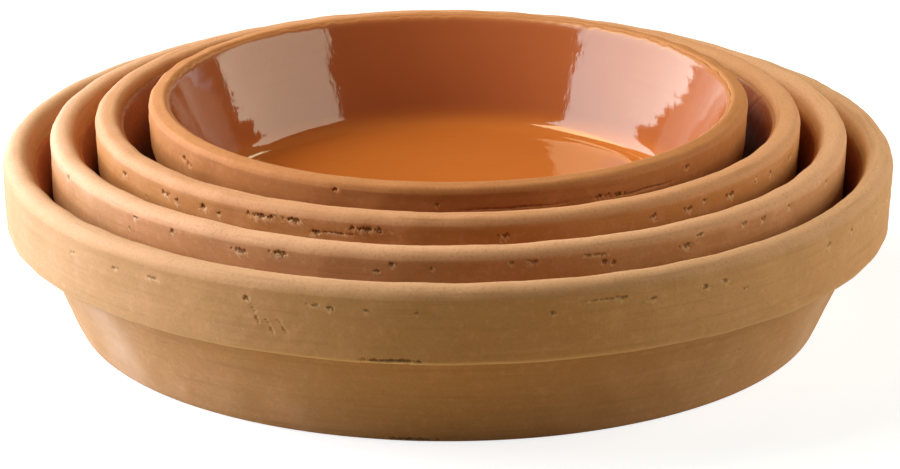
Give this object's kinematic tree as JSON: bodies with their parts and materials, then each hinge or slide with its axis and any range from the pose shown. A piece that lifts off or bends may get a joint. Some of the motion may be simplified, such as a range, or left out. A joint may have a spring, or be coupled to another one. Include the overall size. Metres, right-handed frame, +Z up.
{
  "type": "nest of plant saucers",
  "caption": "Nest of round terracotta plant saucers with banded rims and glossy glazed insides; each lifts out of the next larger one and catches water under a flower pot.",
  "frame": {"origin": "centre of the largest saucer's underside, on the surface it stands on", "axes": "+Z up along the axis that all the saucers share; X and Y lie in the standing surface"},
  "size_m": [0.28, 0.28, 0.0721],
  "materials": {
    "large_clay": "matte",
    "medium_clay": "matte",
    "small_clay": "matte",
    "mini_clay": "matte",
    "glaze": "polished"
  },
  "bodies": {
    "large_saucer": {"large_saucer_clay": "large_clay", "large_saucer_glaze": "glaze"},
    "medium_saucer": {"medium_saucer_clay": "medium_clay", "medium_saucer_glaze": "glaze"},
    "small_saucer": {"small_saucer_clay": "small_clay", "small_saucer_glaze": "glaze"},
    "mini_saucer": {"mini_saucer_clay": "mini_clay", "mini_saucer_glaze": "glaze"}
  },
  "joints": [
    {"name": "medium_saucer_lift", "type": "slide", "parent": "large_saucer", "child": "medium_saucer", "axis": [0, 0, 1], "range_m": [0, 0.07]},
    {"name": "small_saucer_lift", "type": "slide", "parent": "medium_saucer", "child": "small_saucer", "axis": [0, 0, 1], "range_m": [0, 0.065]},
    {"name": "mini_saucer_lift", "type": "slide", "parent": "small_saucer", "child": "mini_saucer", "axis": [0, 0, 1], "range_m": [0, 0.06]}
  ]
}
